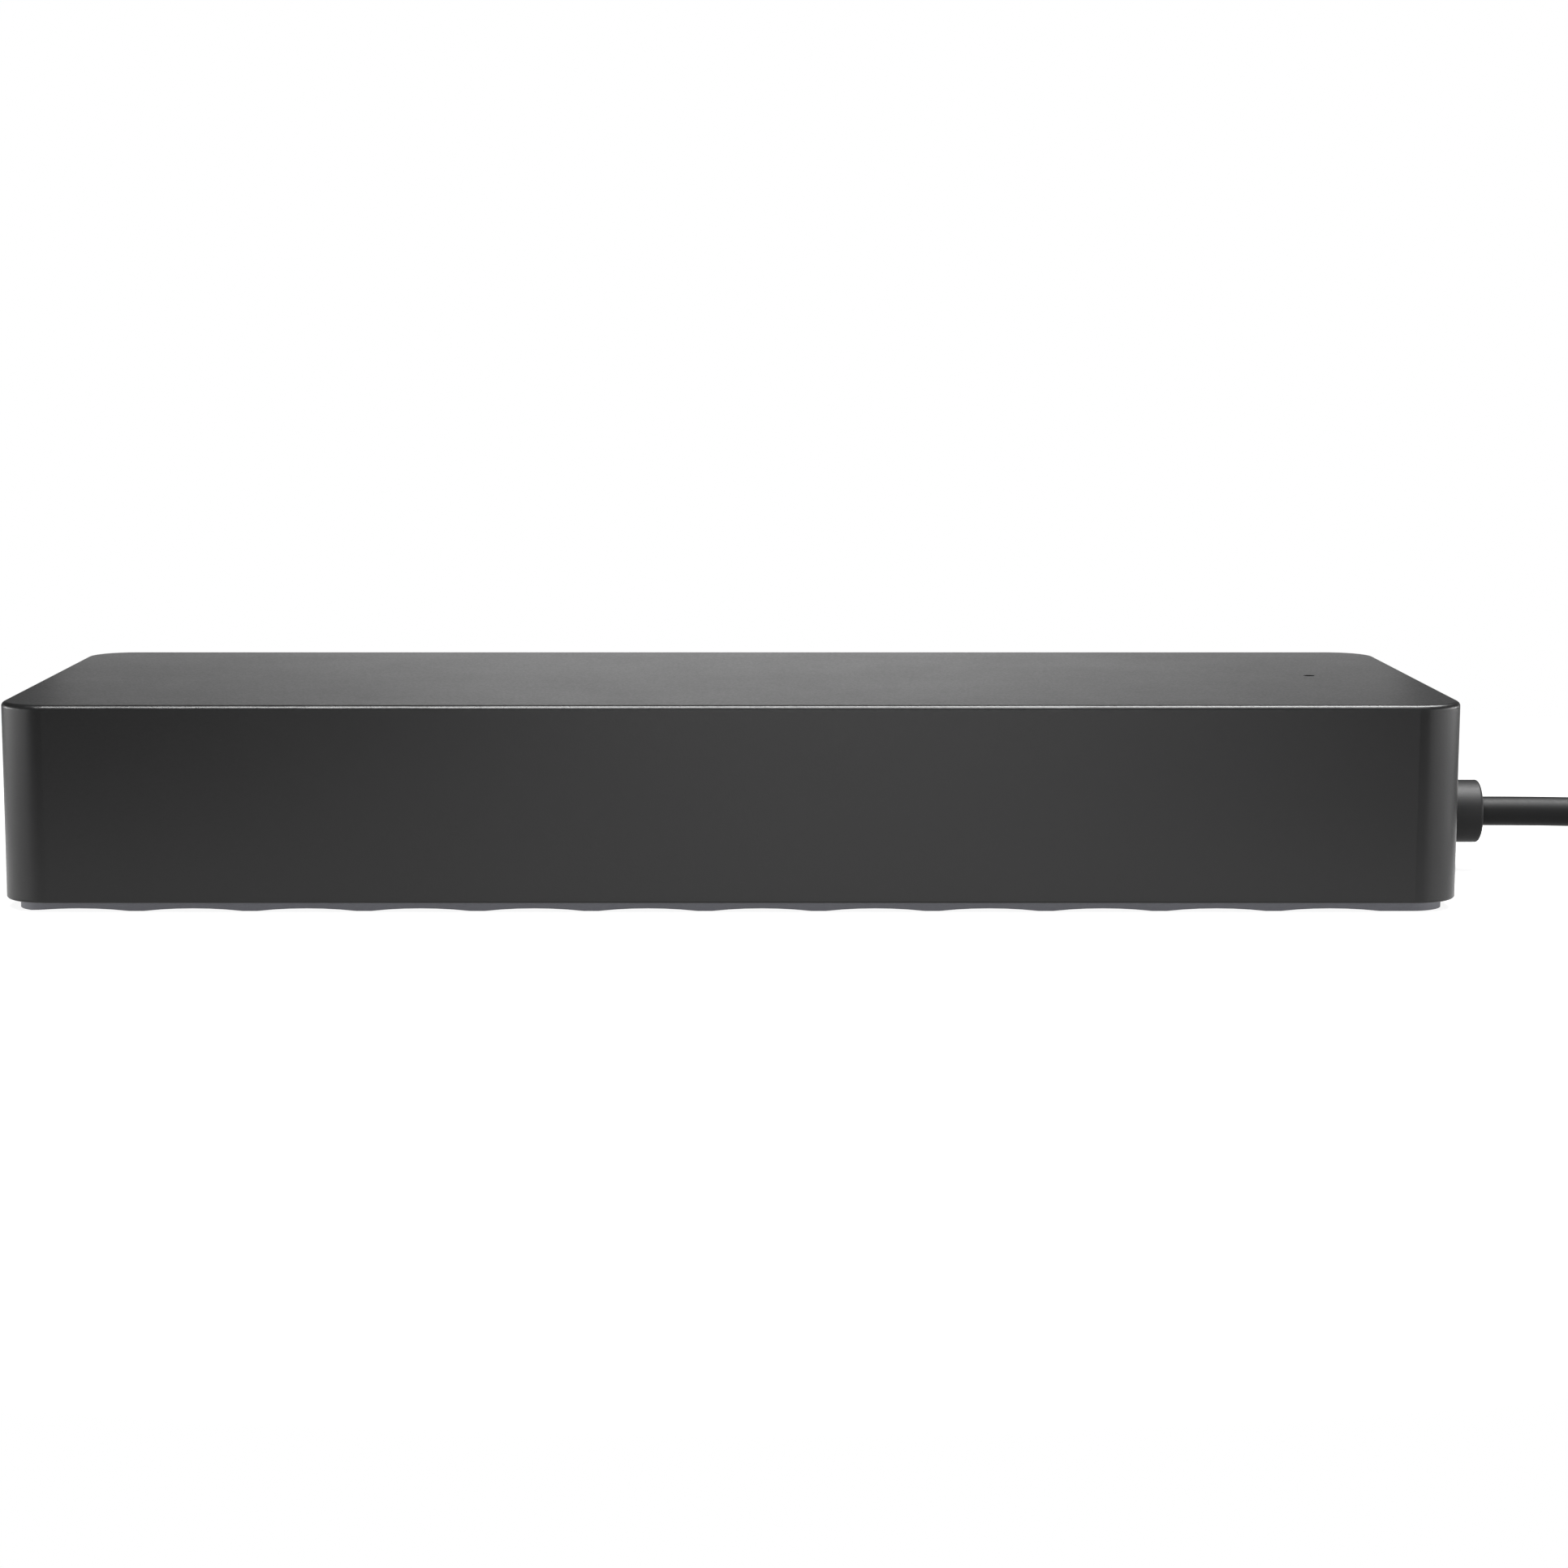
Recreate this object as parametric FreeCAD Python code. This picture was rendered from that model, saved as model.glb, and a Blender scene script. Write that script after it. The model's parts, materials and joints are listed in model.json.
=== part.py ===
import FreeCAD, Part
import math
import os

# Laptop docking station: a long, low moulded case on one rubber foot, with its ports on the
# back and the left end, and a captive host lead that leaves the right end through a collar.
# Millimetres. X is the width, the plain front faces -Y, and Z is up.
# The origin is on the table, under the middle of the case.

V = FreeCAD.Vector

# Case
case_width = 150.0
case_depth = 56.0
case_height = 20.4          # without the foot
corner_radius = 5.0         # the four upright corners
top_edge_radius = 0.5
bottom_edge_radius = 0.25
draft_deg = 0.05            # the case narrows this much downwards
wall = 1.8
rim_wall = 1.0              # thinner wall round the base cover
cover_thickness = 2.0
cover_gap = 0.1             # base cover to rim, all round

# Rubber foot
foot_height = 1.0
foot_inset = 1.4            # in from the foot of the case wall
groove_pitch = 11.68        # shallow hollows across the underside
groove_width = 10.2
groove_depth = 0.27
groove_count = 12
first_groove_x = -66.9

# Screws, all M2
screw_radius = 0.95
thread_gap = 0.03           # screw to its moulded hole
shank_gap = 0.15            # screw to a plain clearance hole
pan_head_radius = 1.75
pan_head_height = 1.1
recess_length = 1.9
recess_width = 0.5
recess_depth = 0.6
flat_head_radius = 1.9
flat_head_height = 0.95
base_screw_length = 8.0
board_screw_length = 3.2
clamp_screw_length = 5.0
screw_end_gap = 0.2         # screw's end to the bottom of its hole
base_screw_end_gap = 1.0

# Corner posts that the base screws go into
post_radius = 2.5
post_from_side = 5.7        # post axis to the wall's inner face, along X
post_from_front = 5.2       # post axis to the wall's inner face, along Y
post_clearance = 1.0

# Circuit board
board_thickness = 1.2
board_gap = 0.6             # board edge to the case wall
standoff_height = 1.2
standoff_radius = 2.2
front_screw_from_post = 9.5
front_screw_from_edge = 4.6
rear_screw_from_ports = 2.5
cable_bay = 7.7             # free length between the board and the right wall

# Ports
mouth_recess = 0.5          # a port's mouth lies this far inside the case's face
port_gap = 0.2              # metal shell to the case's cut-out
type_a_opening = (12.5, 5.12)
type_a_depth = 14.0
type_a_wall = 0.31
type_c_opening = (8.34, 2.56)
type_c_depth = 8.6
type_c_wall = 0.3
wide_video_opening = (14.0, 4.55)
wide_video_cut = 1.7        # both lower corners are cut off at 45 degrees
wide_video_depth = 11.5
keyed_video_opening = (16.1, 4.76)
keyed_video_cut = 1.9       # one lower corner is cut off at 45 degrees
keyed_video_depth = 12.5
video_wall = 0.4
jack_size = (16.0, 13.4)    # network jack
jack_depth = 16.0
jack_wall = 0.25
jack_cavity = (11.8, 6.8)
jack_cavity_floor = 3.6
jack_cavity_depth = 12.4
latch_steps = ((6.4, 1.4), (3.4, 1.0))
finger_count = 8            # spring contacts of the network jack
finger_pitch = 1.02
finger_width = 0.4
finger_thickness = 0.35
finger_drop = 1.9
finger_from_mouth = 4.0
finger_flat = 3.2
contact_thickness = 0.12    # flat contacts of the other ports
contact_from_tip = 0.5

# Tongues of the flat ports. Off the middle is how far a tongue lies over the opening's middle,
# and each row of contacts is (count, pitch, width, above or below the tongue).
tongues = {
    "type_a": {
        "width": 11.1, "thickness": 1.84, "off_middle": 1.14, "tip_from_mouth": 0.6,
        "block": 5.0, "contact_length": 6.8, "rows": ((4, 2.3, 1.0, -1),),
    },
    "type_c": {
        "width": 6.69, "thickness": 0.7, "off_middle": 0.0, "tip_from_mouth": 0.9,
        "block": 2.4, "contact_length": 4.2, "rows": ((12, 0.5, 0.25, 1), (12, 0.5, 0.25, -1)),
    },
    "wide_video": {
        "width": 11.4, "thickness": 1.0, "off_middle": 0.25, "tip_from_mouth": 0.8,
        "block": 2.6, "contact_length": 6.4, "rows": ((10, 1.0, 0.5, 1), (9, 1.0, 0.5, -1)),
    },
    "keyed_video": {
        "width": 12.6, "thickness": 1.2, "off_middle": 0.2, "tip_from_mouth": 0.8,
        "block": 2.8, "contact_length": 7.0, "rows": ((10, 1.0, 0.5, 1), (10, 1.0, 0.5, -1)),
    },
}

# Parts on the board
row_from_front = 6.0
chip_row_from_front = 18.0
hub_x, hub_size, hub_height = -16.0, 9.0, 0.9
display_x, display_size, display_height = 14.0, 10.0, 1.0
network_size, network_height = 6.0, 0.85
power_size, power_height = 5.0, 0.8
magnetics_size = (15.0, 7.1, 3.9)
part_spacing = 1.2
ceramic_size = (1.0, 0.5, 0.5)
ceramics_per_side = 4
crystal_size = (3.2, 2.5, 0.8)
inductor_size, inductor_height = 5.2, 3.0
inductor_corner = 0.6
inductor_xs = (-40.0, -33.0, -26.0)
capacitor_radius, capacitor_height = 3.15, 5.8
capacitor_base = 0.8
capacitor_xs = (29.0, 38.0)
can_size = (20.0, 19.0, 2.2)
can_wall = 0.2
spreader_size = (28.0, 18.0, 0.8)
pad_thickness = 0.5

# Status indicator
indicator_from_right = 11.35
indicator_y = 1.1
pinhole_radius = 0.64
tip_gap = 0.06
tip_recess = 0.3
pipe_radius = 1.0
pipe_flange_radius = 1.6
pipe_flange_height = 0.8
pipe_ring_wall = 0.75
pipe_ring_height = 3.0
led_size = (1.6, 0.8, 0.6)
led_gap = 0.2

# Host lead where it passes through the case
cable_diameter = 3.2
cable_y = 0.0
cable_z = 6.52
collar_radius = 3.45
collar_length = 7.4
collar_edge_radius = 0.35
neck_radius = 2.8
flange_radius = 3.4
flange_thickness = 1.2
flange_gap = 0.1            # flange to the wall's inner face
grip_gap = 0.03             # jacket to collar and clamp
joint_in_collar = 1.0       # the inner jacket piece ends this far inside the collar's mouth
clamp_width = 3.0
clamp_half_span = 6.3
clamp_screw_y = 4.3
clamp_height = 2.9
clamp_split = 0.3
clamp_from_wall = 2.0
jacket_past_clamp = 0.9
wire_diameter = 0.5
wire_spread = 0.62
wires_per_layer = 4
wire_layer_rise = 0.55      # each of the two layers to the lead's axis
wire_straight = 1.2         # free end at the jacket
wire_on_pad = 1.5           # free end that lies on its pad
wire_drop_run = 1.6
first_pad_from_lead = 2.2
pad_pitch = 1.7
pads_from_edge = 4.0
pad_stagger = (3.0, 0.8)    # the second layer's pads to the first's

# Host lead outside: hand-set points, then a coil, then more points to the plug
bend_share = 0.45
lead_points = (
    (81.6, 0.0, 6.52),
    (91.5, 0.0, 6.52),
    (101.8, -0.2, 6.1),
    (110.8, -2.6, 1.95),
    (118.6, -6.3, 1.68),
    (126.0, -7.6, 3.1),
)
tail_points = (
    (122.0, -8.8, 5.9),
    (131.0, -10.1, 5.8),
    (140.0, -10.6, 3.0),
    (148.0, -10.4, 1.68),
    (155.5, -10.0, 3.25),
    (163.0, -10.0, 3.25),
)
coil_centre = (126.0, 11.2)
coil_radius = 17.2
coil_section_radius = 3.5
coil_height = 4.1           # centre of the section above the table
tie_width = 6.0
tie_inner_radius = 3.75
tie_thickness = 0.35
tie_flap = 5.5

# Plug on the far end
relief_length = 8.0
relief_radii = (2.1, 3.0)
relief_groove_width = 0.8
relief_groove_depth = 0.45
relief_groove_pitch = 2.0
relief_groove_count = 3
first_relief_groove = 1.2
plug_length = 22.0
plug_width = 12.0
plug_height = 6.5
plug_corner = 2.8
plug_edge = 0.8
plug_shell_size = (8.25, 2.4)
plug_shell_length = 6.65
plug_shell_wall = 0.2
plug_slot = (6.9, 1.0)
plug_slot_depth = 5.9
pin_count = 12              # contacts on each side of the slot
pin_pitch = 0.5
pin_width = 0.25
pin_length = 4.0
pin_from_mouth = 1.0

# Levels
case_bottom = foot_height
case_top = case_bottom + case_height
ledge_z = case_bottom + cover_thickness
ceiling_z = case_top - wall
board_bottom = ledge_z + standoff_height
board_top = board_bottom + board_thickness

# Plan positions
inside_x = case_width / 2 - wall
inside_y = case_depth / 2 - wall
post_x = inside_x - post_from_side
post_y = inside_y - post_from_front
board_front = -inside_y + board_gap
board_right = inside_x - cable_bay
mouth_y = case_depth / 2 - mouth_recess
mouth_x = case_width / 2 - mouth_recess
indicator_x = case_width / 2 - indicator_from_right
cable_radius = cable_diameter / 2


def box(x_low, x_high, y_low, y_high, z_low, z_high):
    return Part.makeBox(x_high - x_low, y_high - y_low, z_high - z_low, V(x_low, y_low, z_low))


def block(x, y, z_low, size):
    """Box centred on (x, y), standing on z_low."""
    long, deep, high = size
    return Part.makeBox(long, deep, high, V(x - long / 2, y - deep / 2, z_low))


def post(x, y, z_low, z_high, radius):
    return Part.makeCylinder(radius, z_high - z_low, V(x, y, z_low))


def rod_x(x_low, x_high, y, z, radius):
    return Part.makeCylinder(radius, x_high - x_low, V(x_low, y, z), V(1, 0, 0))


def rounded_outline(width, depth, radius, z=0.0):
    """Closed wire: a rectangle with round corners, centred on the Z axis."""
    half_x, half_y = width / 2 - radius, depth / 2 - radius
    ends = []
    for side_x, side_y, start in ((1, -1, -90), (1, 1, 0), (-1, 1, 90), (-1, -1, 180)):
        centre = V(side_x * half_x, side_y * half_y, z)
        steps = [math.radians(start + step) for step in (0, 45, 90)]
        ends.append([centre + V(math.cos(a), math.sin(a), 0) * radius for a in steps])
    edges = []
    for here, following in zip(ends, ends[1:] + ends[:1]):
        edges.append(Part.Arc(*here).toShape())
        if here[2].distanceToPoint(following[0]) > 1e-6:
            edges.append(Part.LineSegment(here[2], following[0]).toShape())
    return Part.Wire(edges)


def cut_outline(width, height, left_cut, right_cut, grow):
    """Rectangle, its lower corners cut at 45 degrees, with every side moved out by grow."""
    x, y = width / 2 + grow, height / 2 + grow
    extra = grow * (2 - math.sqrt(2))
    left = left_cut + extra if left_cut else 0
    right = right_cut + extra if right_cut else 0
    corners = [V(x, y, 0), V(-x, y, 0)]
    corners += [V(-x, left - y, 0), V(left - x, -y, 0)] if left else [V(-x, -y, 0)]
    corners += [V(x - right, -y, 0), V(x, right - y, 0)] if right else [V(x, -y, 0)]
    return Part.makePolygon(corners + corners[:1])


def case_outline(z, inset):
    """Outline of the drafted case at height z, moved in by inset."""
    shrink = inset + (case_top - z) * math.tan(math.radians(draft_deg))
    return rounded_outline(
        case_width - 2 * shrink, case_depth - 2 * shrink, corner_radius - inset, z
    )


def case_block(z_low, z_high, inset):
    return Part.makeLoft([case_outline(z_low, inset), case_outline(z_high, inset)], True, True)


def level_edges(shape, z):
    """Edges of shape that lie in the plane at height z."""
    return [
        edge for edge in shape.Edges
        if abs(edge.BoundBox.ZMin - z) < 1e-4 and abs(edge.BoundBox.ZMax - z) < 1e-4
    ]


def port_prism(outline, z, y_front, y_back):
    """Outline stood upright at height z, and carried back from y_front to y_back."""
    upright = outline.copy()
    upright.rotate(V(0, 0, 0), V(1, 0, 0), 90)
    upright.translate(V(0, y_front, z))
    return Part.Face(upright).extrude(V(0, y_back - y_front, 0))


def prism_x(outline, x_low, x_high, y, z):
    """Outline stood across the X axis, from x_low to x_high."""
    upright = outline.copy()
    upright.rotate(V(0, 0, 0), V(1, 1, 1), 120)
    upright.translate(V(x_low, y, z))
    return Part.Face(upright).extrude(V(x_high - x_low, 0, 0))


def bent_tube(name, points, diameter):
    """Tube of straight runs joined by tangent arcs, each as large as its runs allow."""
    points = [V(*point) for point in points]
    edges, start, radii = [], points[0], []
    for before, corner, after in zip(points, points[1:], points[2:]):
        back, ahead = before - corner, after - corner
        reach = bend_share * min(back.Length, ahead.Length)
        back.normalize()
        ahead.normalize()
        half_turn = (math.pi - back.getAngle(ahead)) / 2
        radius = reach / math.tan(half_turn)
        inward = (back + ahead).normalize()
        middle = corner + inward * (math.hypot(radius, reach) - radius)
        enter, leave = corner + back * reach, corner + ahead * reach
        edges.append(Part.LineSegment(start, enter).toShape())
        edges.append(Part.Arc(enter, middle, leave).toShape())
        radii.append(round(radius, 1))
        start = leave
    edges.append(Part.LineSegment(start, points[-1]).toShape())
    path = Part.Wire(edges)
    circle = Part.Circle(points[0], points[1] - points[0], diameter / 2)
    tube = path.makePipeShell([Part.Wire(circle.toShape())], True, False)
    full = path.Length * math.pi * diameter ** 2 / 4
    print(name, "radii", radii, "length", round(path.Length, 1), "volume", round(tube.Volume / full, 4))
    return tube


# Ports. Each is made with its mouth at y = 0 facing +Y, its middle at x = 0 and its underside
# at z = 0, where it stands on the board.

def mouth(kind, grow):
    """Opening of a port, with every side moved out by grow."""
    if kind == "type_a":
        return cut_outline(*type_a_opening, 0, 0, grow)
    if kind == "type_c":
        width, height = type_c_opening
        return rounded_outline(width + 2 * grow, height + 2 * grow, height / 2 + grow)
    if kind == "wide_video":
        return cut_outline(*wide_video_opening, wide_video_cut, wide_video_cut, grow)
    if kind == "keyed_video":
        return cut_outline(*keyed_video_opening, keyed_video_cut, 0, grow)
    return cut_outline(jack_size[0] - 2 * jack_wall, jack_size[1] - 2 * jack_wall, 0, 0, grow)


port_facts = {              # opening height, metal wall, depth, full width
    "type_a": (type_a_opening[1], type_a_wall, type_a_depth, type_a_opening[0] + 2 * type_a_wall),
    "type_c": (type_c_opening[1], type_c_wall, type_c_depth, type_c_opening[0] + 2 * type_c_wall),
    "wide_video": (
        wide_video_opening[1], video_wall, wide_video_depth,
        wide_video_opening[0] + 2 * video_wall,
    ),
    "keyed_video": (
        keyed_video_opening[1], video_wall, keyed_video_depth,
        keyed_video_opening[0] + 2 * video_wall,
    ),
    "jack": (jack_size[1] - 2 * jack_wall, jack_wall, jack_depth, jack_size[0]),
}


def port_shell(kind):
    """Folded metal shell, open at the mouth and the back."""
    height, metal, depth, _ = port_facts[kind]
    centre = metal + height / 2
    outside = port_prism(mouth(kind, metal), centre, 0, -depth)
    return outside.cut(port_prism(mouth(kind, 0), centre, 0, -depth))


def tongue_middle(kind):
    height, metal, _, _ = port_facts[kind]
    return metal + height / 2 + tongues[kind]["off_middle"]


def tongue_insert(kind):
    """Moulded block that fills the back of the shell, with a tongue that stops short of the mouth."""
    height, metal, depth, _ = port_facts[kind]
    tongue = tongues[kind]
    width, thickness = tongue["width"], tongue["thickness"]
    back = tongue["block"] - depth
    block_at_back = port_prism(mouth(kind, 0), metal + height / 2, back, -depth)
    low = tongue_middle(kind) - thickness / 2
    return block_at_back.fuse(box(
        -width / 2, width / 2, back, -tongue["tip_from_mouth"], low, low + thickness
    ))


def contact_rows(kind):
    """Flat contacts above and below the tongue."""
    tongue = tongues[kind]
    front = -tongue["tip_from_mouth"] - contact_from_tip
    contacts = []
    for count, pitch, width, side in tongue["rows"]:
        face = tongue_middle(kind) + side * tongue["thickness"] / 2
        low, high = sorted((face, face + side * contact_thickness))
        for number in range(count):
            x = (number - (count - 1) / 2) * pitch
            contacts.append(box(
                x - width / 2, x + width / 2, front - tongue["contact_length"], front, low, high
            ))
    return Part.makeCompound(contacts)


def flat_port(kind):
    return {
        "shell": port_shell(kind), "tongue": tongue_insert(kind), "contacts": contact_rows(kind),
    }


def jack_insert():
    """Moulded body of the network jack, with the plug's cavity and the stepped latch channel."""
    height, metal, depth, _ = port_facts["jack"]
    body = port_prism(mouth("jack", 0), metal + height / 2, 0, -depth)
    width, tall = jack_cavity
    floor = jack_cavity_floor
    cavities = [box(-width / 2, width / 2, -jack_cavity_depth, 0, floor, floor + tall)]
    for step_width, step_height in latch_steps:
        cavities.append(box(
            -step_width / 2, step_width / 2, -jack_cavity_depth, 0, floor - step_height, floor
        ))
        floor -= step_height
    return body.cut(cavities)


def jack_contacts():
    """Spring fingers that slope down and back from the roof of the cavity."""
    roof = jack_cavity_floor + jack_cavity[1]
    front, back = -finger_from_mouth, -jack_cavity_depth
    bend, low = back + finger_flat, roof - finger_drop
    side = Part.makePolygon([
        V(0, front, roof), V(0, bend, low), V(0, back, low), V(0, back, low - finger_thickness),
        V(0, bend, low - finger_thickness), V(0, front, roof - finger_thickness),
        V(0, front, roof),
    ])
    finger = Part.Face(side).extrude(V(finger_width, 0, 0))
    fingers = []
    for number in range(finger_count):
        copy = finger.copy()
        copy.translate(V((number - (finger_count - 1) / 2) * finger_pitch - finger_width / 2, 0, 0))
        fingers.append(copy)
    return Part.makeCompound(fingers)


def network_jack():
    return {"shell": port_shell("jack"), "insert": jack_insert(), "contacts": jack_contacts()}


def place_back(shape, x):
    placed = shape.copy()
    placed.translate(V(x, mouth_y, board_top))
    return placed


def place_left(shape, y):
    placed = shape.copy()
    placed.rotate(V(0, 0, 0), V(0, 0, 1), 90)
    placed.translate(V(-mouth_x, y, board_top))
    return placed


def spread(names, reach):
    """Middle of each port, and of the gaps after each, with equal gaps from -reach to reach."""
    widths = [port_facts[kind][3] for _, kind in names]
    gap = (2 * reach - sum(widths)) / (len(names) + 1)
    places, gaps, edge = {}, [], -reach + gap
    for (name, _), width in zip(names, widths):
        places[name] = edge + width / 2
        edge += width + gap
        gaps.append(edge - gap / 2)
    return places, gaps


back_ports = (
    ("network_jack", "jack"),
    ("back_type_a_1", "type_a"),
    ("back_type_a_2", "type_a"),
    ("wide_video_port", "wide_video"),
    ("keyed_video_port", "keyed_video"),
    ("power_type_c", "type_c"),
)
left_ports = (
    ("left_type_a", "type_a"),
    ("left_type_c", "type_c"),
)
back_places, back_gaps = spread(back_ports, post_x - post_radius - post_clearance)
left_places, _ = spread(left_ports, post_y - post_radius - post_clearance)


def ports():
    """Every port, in place: name to solid."""
    nodes = {}
    for names, places, place in (
        (back_ports, back_places, place_back), (left_ports, left_places, place_left)
    ):
        for name, kind in names:
            pieces = network_jack() if kind == "jack" else flat_port(kind)
            for piece, shape in pieces.items():
                nodes[f"{name}_{piece}"] = place(shape, places[name])
    return nodes


def port_cutouts():
    """Holes in the case for the ports, each a little larger than the port's shell."""
    cuts = []
    for names, places, place in (
        (back_ports, back_places, place_back), (left_ports, left_places, place_left)
    ):
        for name, kind in names:
            height, metal, _, _ = port_facts[kind]
            hole = port_prism(
                mouth(kind, metal + port_gap), metal + height / 2, mouth_recess + 1, -wall - 1
            )
            cuts.append(place(hole, places[name]))
    return cuts


# Case

post_spots = [(x, y) for x in (-post_x, post_x) for y in (-post_y, post_y)]
rear_screw_y = mouth_y - jack_depth - rear_screw_from_ports
board_screw_spots = [
    (-post_x + front_screw_from_post, board_front + front_screw_from_edge),
    (post_x - front_screw_from_post, board_front + front_screw_from_edge),
    (back_gaps[0], rear_screw_y),
    (back_gaps[-2], rear_screw_y),
]


def top_shell():
    """Top and side walls in one moulding, with screw posts, port holes and the indicator's pinhole."""
    body = case_block(case_bottom, case_top, 0)
    body = body.makeFillet(top_edge_radius, level_edges(body, case_top))
    body = body.makeFillet(bottom_edge_radius, level_edges(body, case_bottom))
    rim = case_block(case_bottom, ledge_z, rim_wall)
    body = body.cut([rim, case_block(ledge_z, ceiling_z, wall)])
    posts = [post(x, y, ledge_z, ceiling_z, post_radius) for x, y in post_spots]
    ring_radius = pipe_flange_radius + tip_gap + pipe_ring_wall
    ring = post(indicator_x, indicator_y, ceiling_z - pipe_ring_height, ceiling_z, ring_radius)
    body = body.fuse(posts + [ring])
    holes = [
        post(x, y, ledge_z, ledge_z + base_screw_length, screw_radius + thread_gap)
        for x, y in post_spots
    ]
    holes.append(post(
        indicator_x, indicator_y, ceiling_z - pipe_ring_height, ceiling_z,
        pipe_flange_radius + tip_gap,
    ))
    holes.append(post(indicator_x, indicator_y, ceiling_z, case_top, pinhole_radius))
    holes.append(rod_x(inside_x - 1, case_width / 2 + 1, cable_y, cable_z, neck_radius + grip_gap))
    return body.cut(holes + port_cutouts())


def clamp_x():
    """Low and high X of the cable clamp."""
    high = inside_x - clamp_from_wall
    return high - clamp_width, high


def base_cover():
    """Flat cover inside the rim, with standoffs for the board and the saddle under the cable."""
    plate = case_block(case_bottom, ledge_z, rim_wall + cover_gap)
    standoffs = [
        post(x, y, ledge_z, board_bottom, standoff_radius) for x, y in board_screw_spots
    ]
    low, high = clamp_x()
    saddle = box(
        low, high, cable_y - clamp_half_span, cable_y + clamp_half_span,
        ledge_z, cable_z - clamp_split / 2,
    )
    plate = plate.fuse(standoffs + [saddle])
    holes = [rod_x(low - 1, high + 1, cable_y, cable_z, cable_radius + grip_gap)]
    for x, y in post_spots:
        holes.append(post(x, y, case_bottom, ledge_z, screw_radius + shank_gap))
        holes.append(Part.makeCone(
            flat_head_radius + shank_gap, screw_radius + shank_gap, flat_head_height + shank_gap,
            V(x, y, case_bottom),
        ))
    for x, y in board_screw_spots:
        bottom = board_top - board_screw_length
        holes.append(post(x, y, bottom, board_bottom, screw_radius + thread_gap))
    for side in (-1, 1):
        top = cable_z + clamp_height
        holes.append(post(
            (low + high) / 2, cable_y + side * clamp_screw_y,
            top - clamp_screw_length, cable_z, screw_radius + thread_gap,
        ))
    return plate.cut(holes)


def rubber_foot():
    """One pad under the whole base; shallow hollows across it leave narrow ridges on the table."""
    outline = case_outline(case_bottom, foot_inset)
    pad = Part.Face(outline).extrude(V(0, 0, -foot_height))
    radius = (groove_width ** 2 / 4 + groove_depth ** 2) / (2 * groove_depth)
    grooves = []
    for number in range(groove_count):
        x = first_groove_x + number * groove_pitch
        grooves.append(Part.makeCylinder(
            radius, case_depth, V(x, -case_depth / 2, groove_depth - radius), V(0, 1, 0)
        ))
    return pad.cut(grooves)


# Screws

def pan_screw(x, y, seat, length):
    """Pan-head screw whose head sits on the height seat and whose shank goes down."""
    top = seat + pan_head_height
    screw = post(x, y, seat, top, pan_head_radius)
    screw = screw.fuse(post(x, y, seat - length, seat, screw_radius))
    cross = [
        block(x, y, top - recess_depth, (recess_length, recess_width, recess_depth)),
        block(x, y, top - recess_depth, (recess_width, recess_length, recess_depth)),
    ]
    return screw.cut(cross)


def base_screws():
    """Countersunk screws, up through the base cover into the corner posts."""
    screws = []
    low = case_bottom + shank_gap
    for x, y in post_spots:
        head = Part.makeCone(flat_head_radius, screw_radius, flat_head_height, V(x, y, low))
        end = ledge_z + base_screw_length - base_screw_end_gap
        shank = post(x, y, low + flat_head_height, end, screw_radius)
        slot = block(x, y, low, (recess_length, recess_width, recess_depth))
        screws.append(head.fuse(shank).cut(slot))
    return Part.makeCompound(screws)


def board_screws():
    return Part.makeCompound([
        pan_screw(x, y, board_top, board_screw_length - screw_end_gap)
        for x, y in board_screw_spots
    ])


def clamp_screws():
    low, high = clamp_x()
    seat, length = cable_z + clamp_height, clamp_screw_length - screw_end_gap
    return Part.makeCompound([
        pan_screw((low + high) / 2, cable_y + side * clamp_screw_y, seat, length)
        for side in (-1, 1)
    ])


# Board and what is on it

def main_board():
    """Board with round notches for the corner posts and holes for its screws."""
    board = box(
        -inside_x + board_gap, board_right, board_front, -board_front, board_bottom, board_top
    )
    board = board.makeFillet(corner_radius - wall, [
        edge for edge in board.Edges if edge.BoundBox.ZLength > board_thickness / 2
    ])
    cuts = [
        post(x, y, board_bottom, board_top, post_radius + board_gap) for x, y in post_spots
    ]
    cuts += [
        post(x, y, board_bottom, board_top, screw_radius + shank_gap)
        for x, y in board_screw_spots
    ]
    return board.cut(cuts)


chip_y = board_front + chip_row_from_front
row_y = board_front + row_from_front
jack_x = back_places["network_jack"]
magnetics_y = mouth_y - jack_depth - part_spacing - magnetics_size[1] / 2
network_y = magnetics_y - magnetics_size[1] / 2 - 2 * part_spacing - network_size / 2
power_x = back_places["power_type_c"]
power_y = mouth_y - type_c_depth - 2 * part_spacing - power_size / 2
chips = {
    "hub_chip": (hub_x, chip_y, hub_size, hub_height),
    "display_chip": (display_x, chip_y, display_size, display_height),
    "network_chip": (jack_x, network_y, network_size, network_height),
    "power_chip": (power_x, power_y, power_size, power_height),
}


def chip(name):
    x, y, size, height = chips[name]
    return block(x, y, board_top, (size, size, height))


def ceramic_capacitors():
    """Small capacitors in a row down the left and right side of every chip."""
    parts = []
    for x, y, chip_size, _ in chips.values():
        for side in (-1, 1):
            for number in range(ceramics_per_side):
                off_middle = (number - (ceramics_per_side - 1) / 2) * part_spacing
                parts.append(block(
                    x + side * (chip_size / 2 + part_spacing), y + off_middle,
                    board_top, ceramic_size,
                ))
    return Part.makeCompound(parts)


def crystals():
    """Metal-lidded crystals, one in front of each of the three largest chips."""
    parts = []
    for name in ("hub_chip", "display_chip", "network_chip"):
        x, y, chip_size, _ = chips[name]
        front = y - chip_size / 2 - part_spacing
        parts.append(block(x, front - crystal_size[1] / 2, board_top, crystal_size))
    return Part.makeCompound(parts)


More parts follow.
